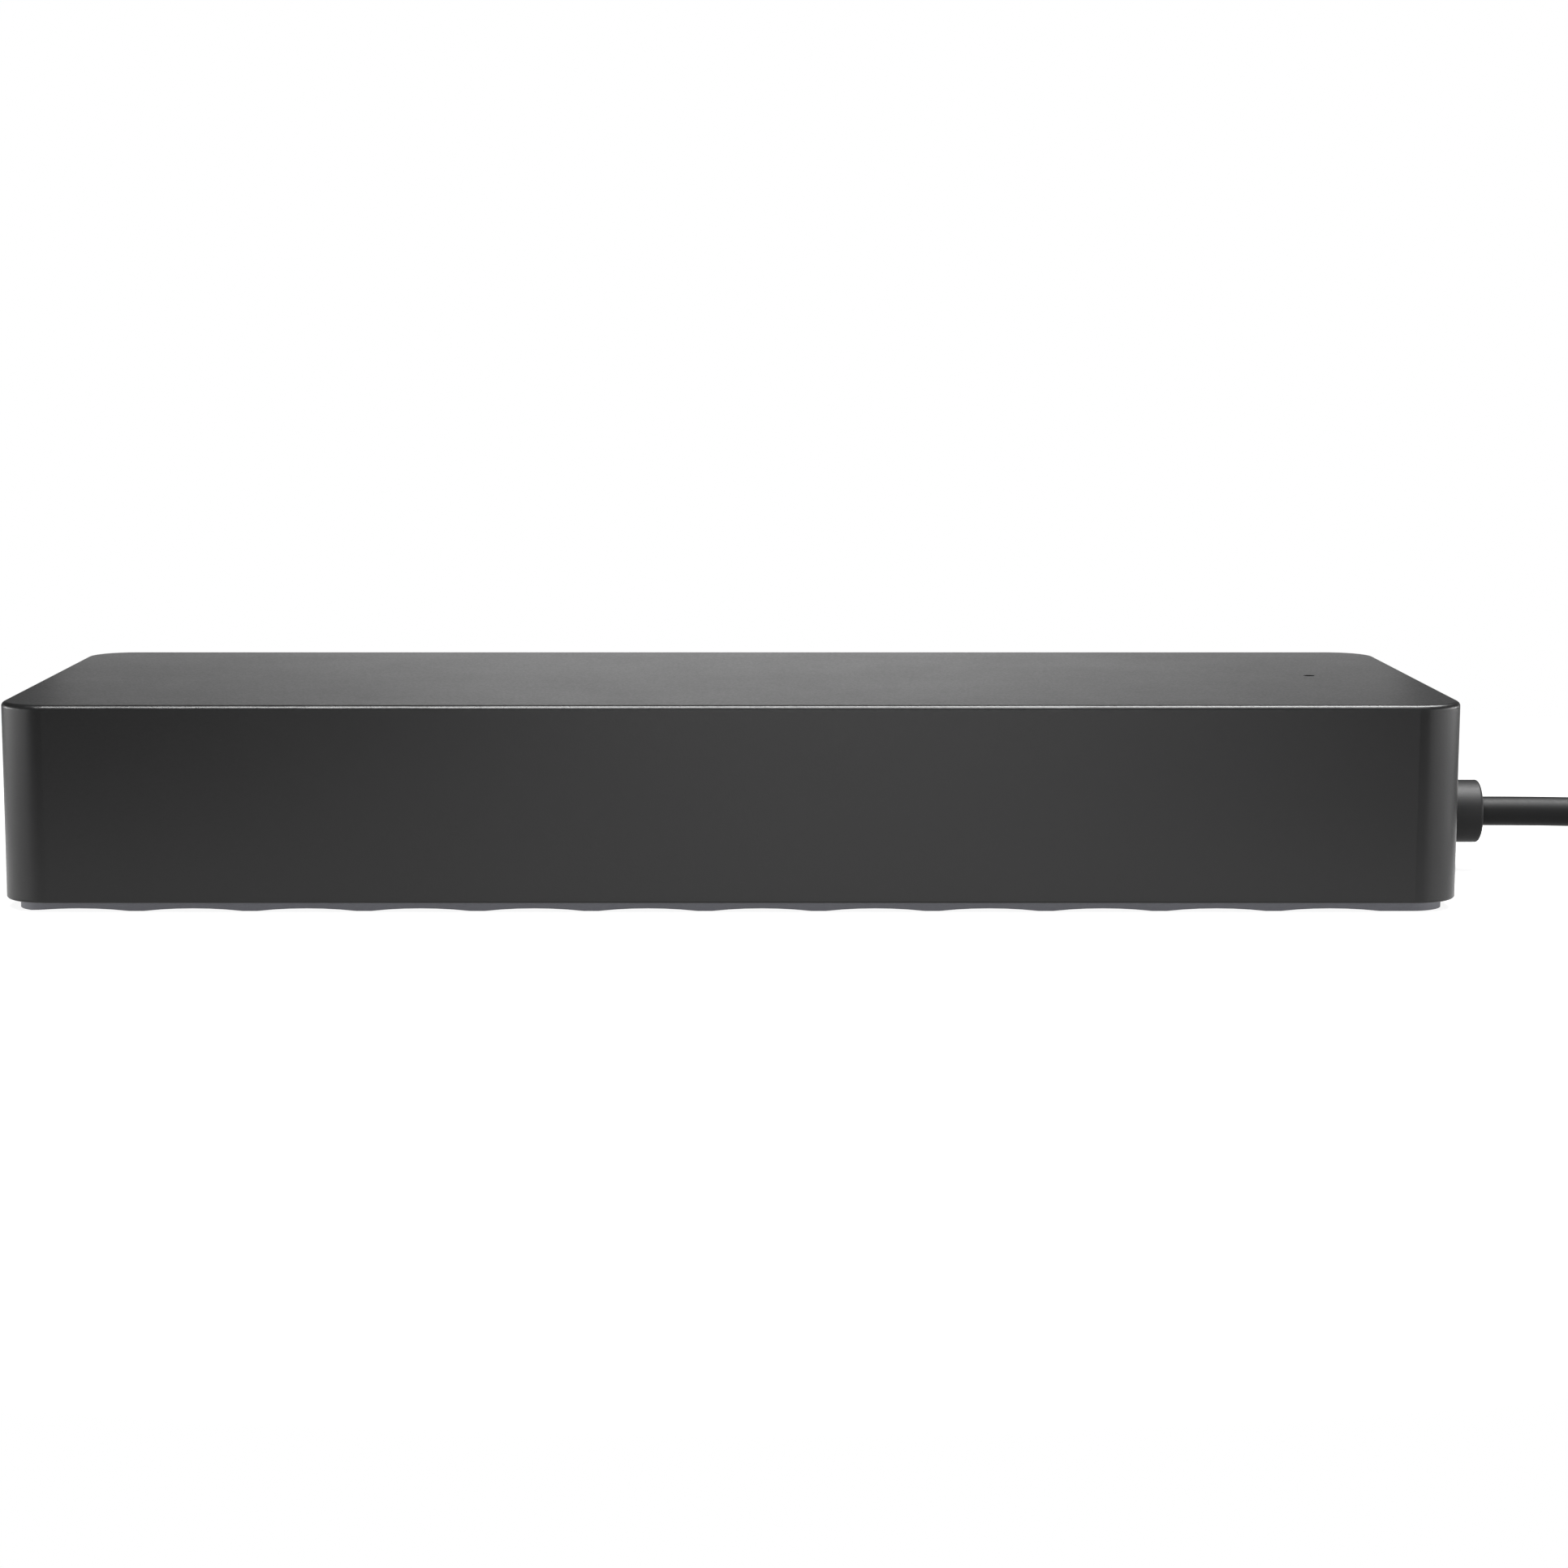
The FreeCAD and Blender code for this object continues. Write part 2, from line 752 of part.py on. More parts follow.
def power_inductors():
    parts = []
    for x in inductor_xs:
        core = block(x, row_y, board_top, (inductor_size, inductor_size, inductor_height))
        parts.append(core.makeFillet(inductor_corner, [
            edge for edge in core.Edges if edge.BoundBox.ZLength > inductor_height / 2
        ]))
    return Part.makeCompound(parts)


def polymer_capacitors():
    """Round cans on square plastic bases."""
    base = capacitor_base
    parts = []
    for x in capacitor_xs:
        side = 2 * capacitor_radius
        can = post(x, row_y, board_top + base, board_top + capacitor_height, capacitor_radius)
        parts.append(can.fuse(block(x, row_y, board_top, (side, side, base))))
    return Part.makeCompound(parts)


def shield_can():
    """Thin metal lid over the display chip."""
    long, deep, high = can_size
    lid = block(display_x, chip_y, board_top, can_size)
    inner = (long - 2 * can_wall, deep - 2 * can_wall, high - can_wall)
    return lid.cut(block(display_x, chip_y, board_top, inner))


def thermal_pad():
    return block(hub_x, chip_y, board_top + hub_height, (hub_size, hub_size, pad_thickness))


def heat_spreader():
    """Aluminium plate on the hub chip's pad, with a turned-down edge to the board at each end."""
    long, deep, thick = spreader_size
    low = board_top + hub_height + pad_thickness
    plate = block(hub_x, chip_y, low, spreader_size)
    legs = [
        block(hub_x + side * (long - thick) / 2, chip_y, board_top, (thick, deep, low - board_top))
        for side in (-1, 1)
    ]
    return plate.fuse(legs)


def indicator_led():
    return block(indicator_x, indicator_y, board_top, led_size)


def light_pipe():
    """Clear rod from just over the lamp to just under the top surface."""
    low = board_top + led_size[2] + led_gap
    flange = post(
        indicator_x, indicator_y, ceiling_z - pipe_flange_height, ceiling_z, pipe_flange_radius
    )
    tip = post(
        indicator_x, indicator_y, ceiling_z, case_top - tip_recess, pinhole_radius - tip_gap
    )
    return post(indicator_x, indicator_y, low, ceiling_z, pipe_radius).fuse([flange, tip])


# Host lead

def strain_relief():
    """Round collar outside the wall, a neck through it and a flange behind it, moulded in one."""
    drop = case_top - cable_z - collar_radius
    face = case_width / 2 - drop * math.tan(math.radians(draft_deg))
    end = face + collar_length
    collar = rod_x(face, end, cable_y, cable_z, collar_radius)
    collar = collar.makeFillet(collar_edge_radius, [
        edge for edge in collar.Edges if edge.BoundBox.XMin > end - 1e-4
    ])
    neck = rod_x(inside_x - flange_thickness, face, cable_y, cable_z, neck_radius)
    flange = rod_x(
        inside_x - flange_thickness, inside_x - flange_gap, cable_y, cable_z, flange_radius
    )
    bore = rod_x(inside_x - flange_thickness - 1, end + 1, cable_y, cable_z, cable_radius + grip_gap)
    return collar.fuse([neck, flange]).cut(bore), end


def cable_inner_end(end):
    """Jacket from inside the case to just inside the collar's mouth."""
    start = clamp_x()[0] - jacket_past_clamp
    return rod_x(start, end - joint_in_collar, cable_y, cable_z, cable_radius)


def cable_clamp():
    """Bridge over the cable, screwed to the saddle."""
    low, high = clamp_x()
    bridge = box(
        low, high, cable_y - clamp_half_span, cable_y + clamp_half_span,
        cable_z + clamp_split / 2, cable_z + clamp_height,
    )
    holes = [rod_x(low - 1, high + 1, cable_y, cable_z, cable_radius + grip_gap)]
    for side in (-1, 1):
        holes.append(post(
            (low + high) / 2, cable_y + side * clamp_screw_y,
            cable_z, cable_z + clamp_height, screw_radius + shank_gap,
        ))
    return bridge.cut(holes)


def cable_wires():
    """Insulated wires in two layers, fanned out from the jacket to pads on the board."""
    start = clamp_x()[0] - jacket_past_clamp
    pad_z = board_top + wire_diameter / 2
    wires = []
    for layer, side in enumerate((-1, 1)):
        z = cable_z + side * wire_layer_rise
        pad_x = board_right - pads_from_edge - layer * pad_stagger[0]
        for number in range(wires_per_layer):
            y = cable_y + (number - (wires_per_layer - 1) / 2) * wire_spread
            pad_y = cable_y - first_pad_from_lead - layer * pad_stagger[1]
            pad_y -= (wires_per_layer - 1 - number) * pad_pitch
            wires.append(bent_tube(f"wire {layer} {number}", (
                (start, y, z), (start - wire_straight, y, z), (pad_x + wire_drop_run, pad_y, z),
                (pad_x, pad_y, pad_z), (pad_x - wire_on_pad, pad_y, pad_z),
            ), wire_diameter))
    return Part.makeCompound(wires)


def cable_tie():
    """Strap round the coil's turns, with its loose end standing off the top."""
    x, y = coil_centre[0], coil_centre[1] + coil_radius
    low, high = x - tie_width / 2, x + tie_width / 2
    outer = tie_inner_radius + tie_thickness
    band = rod_x(low, high, y, coil_height, outer)
    top = coil_height + outer
    flap = box(low, high, y, y + tie_flap, top - tie_thickness, top)
    return band.fuse(flap).cut(rod_x(low - 1, high + 1, y, coil_height, tie_inner_radius))


def coil(cutters):
    """Outer shape of the wound turns, less whatever passes into it."""
    ring = Part.makeTorus(
        coil_radius, coil_section_radius, V(coil_centre[0], coil_centre[1], coil_height)
    )
    return ring.cut(cutters)


# Plug

plug_x, plug_y, plug_z = tail_points[-1]
housing_x = plug_x + relief_length
shell_x = housing_x + plug_length


def plug_relief():
    """Tapered sleeve with grooves round it, that lets the lead flex at the plug."""
    narrow, broad = relief_radii
    sleeve = Part.makeCone(narrow, broad, relief_length, V(plug_x, plug_y, plug_z), V(1, 0, 0))
    grooves = []
    for number in range(relief_groove_count):
        low = plug_x + first_relief_groove + number * relief_groove_pitch
        radius = narrow + (broad - narrow) * (low - plug_x) / relief_length
        ring = rod_x(low, low + relief_groove_width, plug_y, plug_z, broad + 1)
        core = rod_x(low, low + relief_groove_width, plug_y, plug_z, radius - relief_groove_depth)
        grooves.append(ring.cut(core))
    return sleeve.cut(grooves)


def plug_housing():
    """Moulded grip of the plug, its edges rounded at both ends."""
    outline = rounded_outline(plug_width, plug_height, plug_corner)
    grip = prism_x(outline, housing_x, shell_x, plug_y, plug_z)
    ends = [
        edge for edge in grip.Edges if edge.BoundBox.XLength < 1e-4
    ]
    return grip.makeFillet(plug_edge, ends)


def plug_tube(inset):
    width, height = plug_shell_size
    outline = rounded_outline(width - 2 * inset, height - 2 * inset, height / 2 - inset)
    return prism_x(outline, shell_x, shell_x + plug_shell_length, plug_y, plug_z)


def plug_insert():
    """Moulding inside the metal shell, with the slot that takes the socket's tongue."""
    end = shell_x + plug_shell_length
    width, height = plug_slot
    slot = box(
        end - plug_slot_depth, end, plug_y - width / 2, plug_y + width / 2,
        plug_z - height / 2, plug_z + height / 2,
    )
    return plug_tube(plug_shell_wall).cut(slot)


def plug_contacts():
    end = shell_x + plug_shell_length - pin_from_mouth
    contacts = []
    for side in (-1, 1):
        face = plug_z + side * plug_slot[1] / 2
        low, high = sorted((face, face - side * contact_thickness))
        for number in range(pin_count):
            y = plug_y + (number - (pin_count - 1) / 2) * pin_pitch
            contacts.append(box(
                end - pin_length, end, y - pin_width / 2, y + pin_width / 2, low, high
            ))
    return Part.makeCompound(contacts)


def build():
    relief, end = strain_relief()
    lead = bent_tube("lead", ((end - joint_in_collar, cable_y, cable_z),) + lead_points[1:],
                     cable_diameter)
    tail = bent_tube("tail", tail_points, cable_diameter)
    tie = cable_tie()
    nodes = {
        "top_shell": top_shell(),
        "base_cover": base_cover(),
        "rubber_foot": rubber_foot(),
        "base_screws": base_screws(),
        "board_screws": board_screws(),
        "main_board": main_board(),
        "magnetics_module": block(jack_x, magnetics_y, board_top, magnetics_size),
        "ceramic_capacitors": ceramic_capacitors(),
        "crystals": crystals(),
        "power_inductors": power_inductors(),
        "polymer_capacitors": polymer_capacitors(),
        "shield_can": shield_can(),
        "thermal_pad": thermal_pad(),
        "heat_spreader": heat_spreader(),
        "indicator_led": indicator_led(),
        "light_pipe": light_pipe(),
        "cable_strain_relief": relief,
        "cable_inner_end": cable_inner_end(end),
        "cable_clamp": cable_clamp(),
        "clamp_screws": clamp_screws(),
        "cable_wires": cable_wires(),
        "host_cable_lead": lead,
        "host_cable_coil": coil([lead, tail, tie]),
        "host_cable_tail": tail,
        "cable_tie": tie,
        "plug_relief": plug_relief(),
        "plug_housing": plug_housing(),
        "plug_shell": plug_tube(0).cut(plug_tube(plug_shell_wall)),
        "plug_insert": plug_insert(),
        "plug_contacts": plug_contacts(),
    }
    nodes.update({name: chip(name) for name in chips})
    nodes.update(ports())
    return nodes


os.makedirs("parts", exist_ok=True)
for node, shape in build().items():
    shape.exportStep(f"parts/{node}.step")
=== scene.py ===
import json
import math

import bmesh
import bpy
from mathutils import Matrix, Vector


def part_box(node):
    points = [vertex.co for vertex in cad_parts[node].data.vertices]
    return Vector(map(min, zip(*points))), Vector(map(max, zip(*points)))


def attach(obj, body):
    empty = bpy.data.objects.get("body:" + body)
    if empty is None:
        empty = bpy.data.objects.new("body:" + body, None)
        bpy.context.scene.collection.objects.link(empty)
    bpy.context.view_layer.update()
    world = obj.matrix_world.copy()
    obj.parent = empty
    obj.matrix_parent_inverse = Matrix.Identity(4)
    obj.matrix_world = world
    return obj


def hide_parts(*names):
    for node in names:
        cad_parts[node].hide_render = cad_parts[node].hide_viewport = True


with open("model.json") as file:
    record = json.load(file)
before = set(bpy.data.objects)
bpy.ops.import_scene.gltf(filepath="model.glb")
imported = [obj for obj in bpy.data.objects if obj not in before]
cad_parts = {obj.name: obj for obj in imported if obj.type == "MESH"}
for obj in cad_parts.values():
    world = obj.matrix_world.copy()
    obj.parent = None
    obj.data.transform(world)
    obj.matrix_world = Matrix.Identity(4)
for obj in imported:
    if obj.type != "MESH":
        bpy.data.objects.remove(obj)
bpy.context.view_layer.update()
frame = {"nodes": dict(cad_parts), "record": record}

nodes = frame["nodes"]

# Laptop docking station on a pale table. Metres, in the frame of the solid model: the plain
# front faces -Y, the host lead leaves the right end (+X), and the table is at z = 0.

MM = 0.001

# Camera
camera_distance = 335.8 * MM        # to the front face
camera_height = 59.6 * MM
camera_pitch_deg = 7.84
camera_lens = 76.48
camera_shift = 0.034
camera_sensor = 36.0
camera_nearest = 10 * MM

# Host lead: the same points as the solid model, and the coil between them
cable_diameter = 3.2 * MM
lead_points = (
    (81.6, 0.0, 6.52),
    (91.5, 0.0, 6.52),
    (101.8, -0.2, 6.1),
    (110.8, -2.6, 1.95),
    (118.6, -6.3, 1.68),
)
tail_points = (
    (122.0, -8.8, 5.9),
    (131.0, -10.1, 5.8),
    (140.0, -10.6, 3.0),
    (148.0, -10.4, 1.68),
    (155.5, -10.0, 3.25),
    (163.0, -10.0, 3.25),
)
coil_middle = (126.0, 11.2)
coil_radius = 17.2
coil_height = 4.1
strand_radius = 1.9                 # strand centres to the middle of the bundle
turns_start, turns_end, turns_step = -90, 960, 21
strand_start = -30                  # degrees round the bundle, up from its outside
strand_twist = 1 / 3                # degrees round the bundle for each degree of turn
lift_start, lift_end = 840, 925     # where the last strand climbs to the outside
lifted_strand = -325                # degrees round the bundle, where its climb ends

# Strap round the coil, and its loose end
strap_width = 5.9 * MM
strap_radius = 3.92 * MM            # to the middle of its thickness
strap_thickness = 0.33 * MM
strap_steps = 60
strap_edge = 0.08 * MM
flap_length = 5.3 * MM
flap_sag, flap_lift = 0.5 * MM, 0.25 * MM
flap_steps = 8

# Edges sharper than this, in degrees, stay sharp
ribbon_crease_deg = 40
plate_crease_deg = 30

# Where the fan of the wires inside starts and ends, across the lead
wire_fan = (-8 * MM, 1 * MM)

# Springs of the ports' metal shells: across the port from its middle, width, and how far they
# start and end behind the mouth
spring_thickness = 0.12 * MM
spring_rise = 0.32 * MM
spring_stretch = 1.15               # the bow ends before the spring does
spring_steps = 12
type_a_springs = ((-3.1, 1.7, 1.6, 6.4), (3.1, 1.7, 1.6, 6.4))
video_springs = ((-3.6, 1.3, 1.5, 5.6), (3.6, 1.3, 1.5, 5.6))
type_a_wall = 0.31 * MM
video_wall = 0.4 * MM

# Lamp lenses of the network jack
window_width, window_height, window_depth = 2.6 * MM, 1.5 * MM, 1.2 * MM
window_spread = 5.6 * MM            # from the jack's middle
window_drop = 1.25 * MM             # from the jack's top to a lens's middle
window_proud = 0.05 * MM
window_edge = 0.06 * MM

# Light: brightness 1 is white
table_fade = (0.09, 0.19)           # the table top fades out between these distances
table_radius = 0.4
table_sides = 96
room_in_front = 0.1
room_turn = 0.3                     # front turns to back between this far either side of the middle
room_rise = (1.2, 0.1, 0.0, 0.3)    # the room behind: strength at two heights, and those heights
room_behind = (                     # sideways direction, brightness
    (-1.0, 0.5), (-0.5, 0.2), (-0.16, 0.1), (0.0, 1.75), (0.16, 0.14), (0.5, 0.2), (1.0, 0.5),
)
soft_lights = (
    # name, place, what it points at, width and height, brightness
    ("overhead", (0.12, -0.07, 0.6), (0.08, -0.02, 0.0), (0.86, 0.2), 48.0),
    ("front_high", (0.1, -0.36, 0.5), (0.05, 0.0, 0.0), (0.5, 0.3), 3.5),
    ("left", (-0.5, -0.1, 0.04), (0.0, -0.1, 0.03), (0.74, 0.08), 12.5),
    ("right", (0.5, -0.16, 0.04), (0.0, -0.16, 0.03), (0.86, 0.08), 13.0),
    ("low_behind", (0.0, 0.15, 0.037), (0.0, 0.0, 0.03), (0.21, 0.024), 0.7),
    ("low_front", (0.03, -0.43, 0.028), (0.0, 0.0, 0.02), (0.17, 0.05), 13.8),
)


# --- Finishes -------------------------------------------------------------------------------

class Flow:
    """A value on its way through the nodes of owner; arithmetic on it adds Math nodes."""

    def __init__(self, owner, socket):
        self.owner, self.socket = owner, socket

    def __add__(self, other):
        return self.owner.maths("ADD", self, other)

    def __mul__(self, other):
        return self.owner.maths("MULTIPLY", self, other)

    def __sub__(self, other):
        return self.owner.maths("SUBTRACT", self, other)

    def __rsub__(self, other):
        return self.owner.maths("SUBTRACT", other, self)

    def __gt__(self, other):
        return self.owner.maths("GREATER_THAN", self, other)

    __radd__ = __add__
    __rmul__ = __mul__


class Nodes:
    """The nodes of a material or of the world."""

    def __init__(self, tree):
        self.tree = tree

    def node(self, kind, settings=None, values=None, output=0):
        """Adds a node: its settings first, then the values or links of its sockets."""
        made = self.tree.nodes.new(kind)
        for name, value in (settings or {}).items():
            if name == "stops":
                self.set_stops(made.color_ramp, *value)
            else:
                setattr(made, name, value)
        for name, value in (values or {}).items():
            self.feed(made.inputs[name], value)
        return Flow(self, made.outputs[output])

    @staticmethod
    def set_stops(ramp, interpolation, stops):
        ramp.interpolation = interpolation
        while len(ramp.elements) < len(stops):
            ramp.elements.new(1.0)
        for element, (place, colour) in zip(ramp.elements, stops):
            element.position = place
            element.color = (*colour, 1.0)

    def feed(self, socket, value):
        if isinstance(value, Flow):
            self.tree.links.new(value.socket, socket)
        else:
            socket.default_value = value

    def maths(self, operation, *values):
        """Adds one Math node."""
        return self.node("ShaderNodeMath", {"operation": operation}, dict(enumerate(values)))

    def span(self, value, low, high, from_low=0.0, from_high=1.0):
        """Value moved from one range to another, and held inside it."""
        return self.node("ShaderNodeMapRange", values={
            "Value": value, "From Min": from_low, "From Max": from_high,
            "To Min": low, "To Max": high,
        })

    def blend(self, mask, first, second):
        """First colour where mask is 0, second where it is 1."""
        first = first if isinstance(first, Flow) else (*first, 1.0)
        second = second if isinstance(second, Flow) else (*second, 1.0)
        return self.node(
            "ShaderNodeMix", {"data_type": "RGBA"}, {0: mask, 6: first, 7: second}, output=2
        )

    def part(self, vector, axis):
        """One coordinate of a vector: 0, 1 or 2."""
        return self.node("ShaderNodeSeparateXYZ", values={0: vector}, output=axis)


class Finish(Nodes):
    """One material: a Principled shader, and whatever feeds it."""

    def __init__(self, name, **fixed):
        self.material = bpy.data.materials.new(name)
        self.material.use_nodes = True
        super().__init__(self.material.node_tree)
        self.shader = self.tree.nodes["Principled BSDF"]
        self.set(**fixed)

    def set(self, **values):
        """Feeds the shader's own sockets, named with underscores for spaces."""
        for name, value in values.items():
            self.feed(self.shader.inputs[name.replace("_", " ")], value)
        return self

    def place(self):
        """Position on the object, in metres."""
        return self.node("ShaderNodeTexCoord", output="Object")

    def along(self, axis):
        """One coordinate of the position on the object."""
        return self.part(self.place(), axis)

    def noise(self, size, detail=2.0, stretch=None):
        """Cloudy pattern whose features are about size across, from 0 to 1."""
        place = self.place()
        if stretch:
            place = self.node("ShaderNodeMapping", values={"Vector": place, "Scale": stretch})
        return self.node(
            "ShaderNodeTexNoise", values={"Vector": place, "Scale": 1 / size, "Detail": detail}
        )

    def bump(self, height, depth):
        """Raises the surface by depth metres where height is 1."""
        return self.set(Normal=self.node("ShaderNodeBump", values={
            "Height": height, "Distance": depth, "Strength": 1.0,
        }))


def shade(colour, factor):
    """A colour made lighter or darker."""
    return tuple(channel * factor for channel in colour)


def moulded(name, colour, roughness, grain=0.25 * MM, depth=0.006 * MM, mottle=0.08, seam=None,
            **fixed):
    """Moulded plastic or rubber: sparked grain, faint mottling and uneven gloss, and a parting
    line at the height seam."""
    finish = Finish(name, **fixed)
    cloud = finish.noise(9 * MM, 4)
    pits = finish.noise(grain, 3)
    finish.set(
        Base_Color=finish.blend(cloud, shade(colour, 1 - mottle), shade(colour, 1 + mottle)),
        Roughness=finish.span(
            cloud * 0.2 + pits * 0.8, roughness - 0.04, roughness + 0.04, 0.3, 0.7
        ),
    )
    if seam is None:
        return finish.bump(pits, depth).material
    away = finish.maths("ABSOLUTE", finish.along(2) - seam)
    ridge = finish.span(away, 1.0, 0.0, 0.03 * MM, 0.09 * MM)
    return finish.bump(pits * 0.1 + ridge, depth * 10).material


def plated(name, colour, roughness, line=0.06 * MM, depth=0.0006 * MM):
    """Plated or rolled metal: fine drawn lines along X and a slightly cloudy shine."""
    finish = Finish(name, Metallic=1.0)
    lines = finish.noise(line, 3, (0.03, 1, 1))
    cloud = finish.noise(2 * MM, 3)
    finish.set(
        Base_Color=finish.blend(cloud, shade(colour, 0.9), colour),
        Roughness=finish.span(lines, roughness - 0.05, roughness + 0.07, 0.3, 0.7),
    )
    return finish.bump(lines, depth).material


def board_finish():
    """Green solder mask over copper tracks, with bare pads in a fine grid."""
    finish = Finish("solder_mask", Roughness=0.35)
    tracks = finish.node("ShaderNodeTexBrick", {"offset": 0.5, "squash": 1.0}, {
        "Vector": finish.place(), "Scale": 420.0, "Mortar Size": 0.035,
        "Brick Width": 1.9, "Row Height": 0.32,
    }, output=1)
    patch = finish.noise(5 * MM, 2) > 0.55
    copper = (1 - tracks) * patch
    finish.set(Base_Color=finish.blend(copper, (0.006, 0.07, 0.03), (0.015, 0.14, 0.06)))
    return finish.bump(copper, 0.03 * MM).material


def wire_finish():
    """Insulation whose colour steps from wire to wire across the fan."""
    finish = Finish("wire_insulation", Roughness=0.4)
    across = finish.span(finish.along(1), 0.0, 1.0, *wire_fan)
    colours = ((0.5, 0.03, 0.02), (0.02, 0.02, 0.02), (0.6, 0.6, 0.58), (0.02, 0.2, 0.06))
    stops = [(number / len(colours), colour) for number, colour in enumerate(colours)]
    ramp = finish.node("ShaderNodeValToRGB", {"stops": ("CONSTANT", stops)}, {0: across})
    scuff = finish.noise(0.3 * MM)
    return finish.set(Base_Color=ramp).bump(scuff, 0.004 * MM).material


def capacitor_finish():
    """Tan ceramic body."""
    finish = Finish("fired_ceramic", Roughness=0.5)
    speck = finish.noise(0.1 * MM, 4)
    finish.set(Base_Color=finish.blend(speck, (0.2, 0.13, 0.08), (0.36, 0.26, 0.17)))
    return finish.bump(speck, 0.004 * MM).material


def strap_finish():
    """Woven strap: two sets of threads, over and under, with a soft nap."""
    finish = Finish("woven_strap", Sheen_Weight=0.04, Sheen_Roughness=0.5, IOR=1.3)
    warp, weft = (
        finish.node("ShaderNodeTexWave", {"bands_direction": direction}, {
            "Vector": finish.place(), "Scale": 900.0, "Distortion": 0.6, "Detail": 1.0,
        }, output=1)
        for direction in "XZ"
    )
    weave = warp * weft
    # Colour darker where the weave is low and lighter on its raised crossings: painted shade
    # between the threads
    finish.set(
        Base_Color=finish.blend(weave, (0.003, 0.003, 0.0034), (0.012, 0.012, 0.013)),
        Roughness=finish.span(weave, 0.95, 0.75),
    )
    return finish.bump(weave, 0.12 * MM).material


def table_finish():
    """Pale lit table top that fades out far from the object."""
    finish = Finish("pale_table", Roughness=0.9, Emission_Strength=0.9)
    tint = finish.noise(40 * MM, 3)
    finish.set(
        Base_Color=finish.blend(tint, (0.09, 0.09, 0.09), (0.11, 0.11, 0.11)),
        Emission_Color=(1, 1, 1, 1),
    )
    away = finish.node(
        "ShaderNodeVectorMath", {"operation": "LENGTH"}, {0: finish.place()}, output=1
    )
    finish.set(Alpha=finish.span(away, 1.0, 0.0, *table_fade))
    return finish.material


case_grey = (0.003, 0.003, 0.0031)
case_ior = 1.32
collar_grey = (0.004, 0.004, 0.0042)
finishes = {
    "case_plastic": moulded("case_plastic", case_grey, 0.34, IOR=case_ior),
    "foot_rubber": moulded("foot_rubber", (0.069, 0.07, 0.08), 0.75, 0.4 * MM, 0.02 * MM),
    "screw_steel": plated("screw_steel", (0.5, 0.5, 0.52), 0.35),
    "board_laminate": board_finish(),
    "chip_plastic": moulded("chip_moulding", (0.02, 0.02, 0.021), 0.55, 0.12 * MM),
    "ceramic": capacitor_finish(),
    "bright_metal": plated("tin_plate", (0.72, 0.72, 0.73), 0.28),
    "pad_silicone": moulded("silicone_pad", (0.25, 0.32, 0.42), 0.7, 0.3 * MM, 0.01 * MM),
    "spreader_aluminium": plated("rolled_aluminium", (0.8, 0.8, 0.82), 0.33, 0.1 * MM),
    "lamp_resin": moulded("lamp_resin", (0.02, 0.02, 0.022), 0.25, 0.2 * MM, 0.001 * MM),
    "collar_plastic": moulded("collar_plastic", collar_grey, 0.52, 0.2 * MM, IOR=1.25),
    "cable_jacket": moulded("cable_jacket", (0.0015, 0.0015, 0.0016), 0.55, 0.3 * MM, IOR=1.23),
    "clamp_plastic": moulded("clamp_plastic", (0.04, 0.04, 0.042), 0.5),
    "wire_insulation": wire_finish(),
    "tie_fabric": strap_finish(),
    "port_steel": plated("port_steel", (0.6, 0.59, 0.57), 0.3),
    "port_plastic": moulded("port_moulding", (0.012, 0.012, 0.0125), 0.38, 0.15 * MM),
    "contact_gold": plated("contact_gold", (0.95, 0.68, 0.3), 0.25),
}


plug_low, plug_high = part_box("plug_housing")
plug_plastic = moulded(
    "plug_plastic", collar_grey, 0.5, 0.2 * MM, seam=(plug_low.z + plug_high.z) / 2, IOR=1.3
)
lens_resin = moulded("lens_resin", (0.3, 0.32, 0.22), 0.25, 0.3 * MM, 0.001 * MM)


def dress(piece, finish):
    """Gives a piece its finish."""
    piece.data.materials.clear()
    piece.data.materials.append(finish)


for entry in frame["record"]["subparts"]:
    dress(nodes[entry["node"]], finishes[entry["material_slot"]])
dress(nodes["plug_housing"], plug_plastic)


# --- Making pieces --------------------------------------------------------------------------

def add(name, data, slot, *stands_for):
    """Puts a new piece in the scene, riding with the docking station."""
    piece = bpy.data.objects.new(name, data)
    bpy.context.scene.collection.objects.link(piece)
    dress(piece, finishes[slot])
    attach(piece, "root")
    if stands_for:
        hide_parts(*stands_for)
    return piece


def surface(name, points, faces):
    """Mesh data from points and faces, smooth, with its faces turned outwards."""
    data = bpy.data.meshes.new(name)
    data.from_pydata([tuple(point) for point in points], [], faces)
    work = bmesh.new()
    work.from_mesh(data)
    bmesh.ops.remove_doubles(work, verts=work.verts, dist=1e-7)
    bmesh.ops.recalc_face_normals(work, faces=work.faces)
    work.to_mesh(data)
    work.free()
    data.shade_smooth()
    return data


# --- Host lead ------------------------------------------------------------------------------

def coil_points():
    """The wound turns: three strands that twist slowly round each other as one bundle, and a
    last strand that climbs to the outside and leaves."""
    for turn in range(turns_start, turns_end + 1, turns_step):
        strand = strand_start - strand_twist * (turn - turns_start)
        climb = min(max((turn - lift_start) / (lift_end - lift_start), 0), 1)
        climb = climb * climb * (3 - 2 * climb)
        strand += climb * (lifted_strand - strand)
        reach = strand_radius * (1 + climb)
        angle, lay = math.radians(turn), math.radians(strand)
        radius = coil_radius + reach * math.cos(lay)
        yield (
            coil_middle[0] + radius * math.cos(angle),
            coil_middle[1] + radius * math.sin(angle),
            coil_height + reach * math.sin(lay),
        )


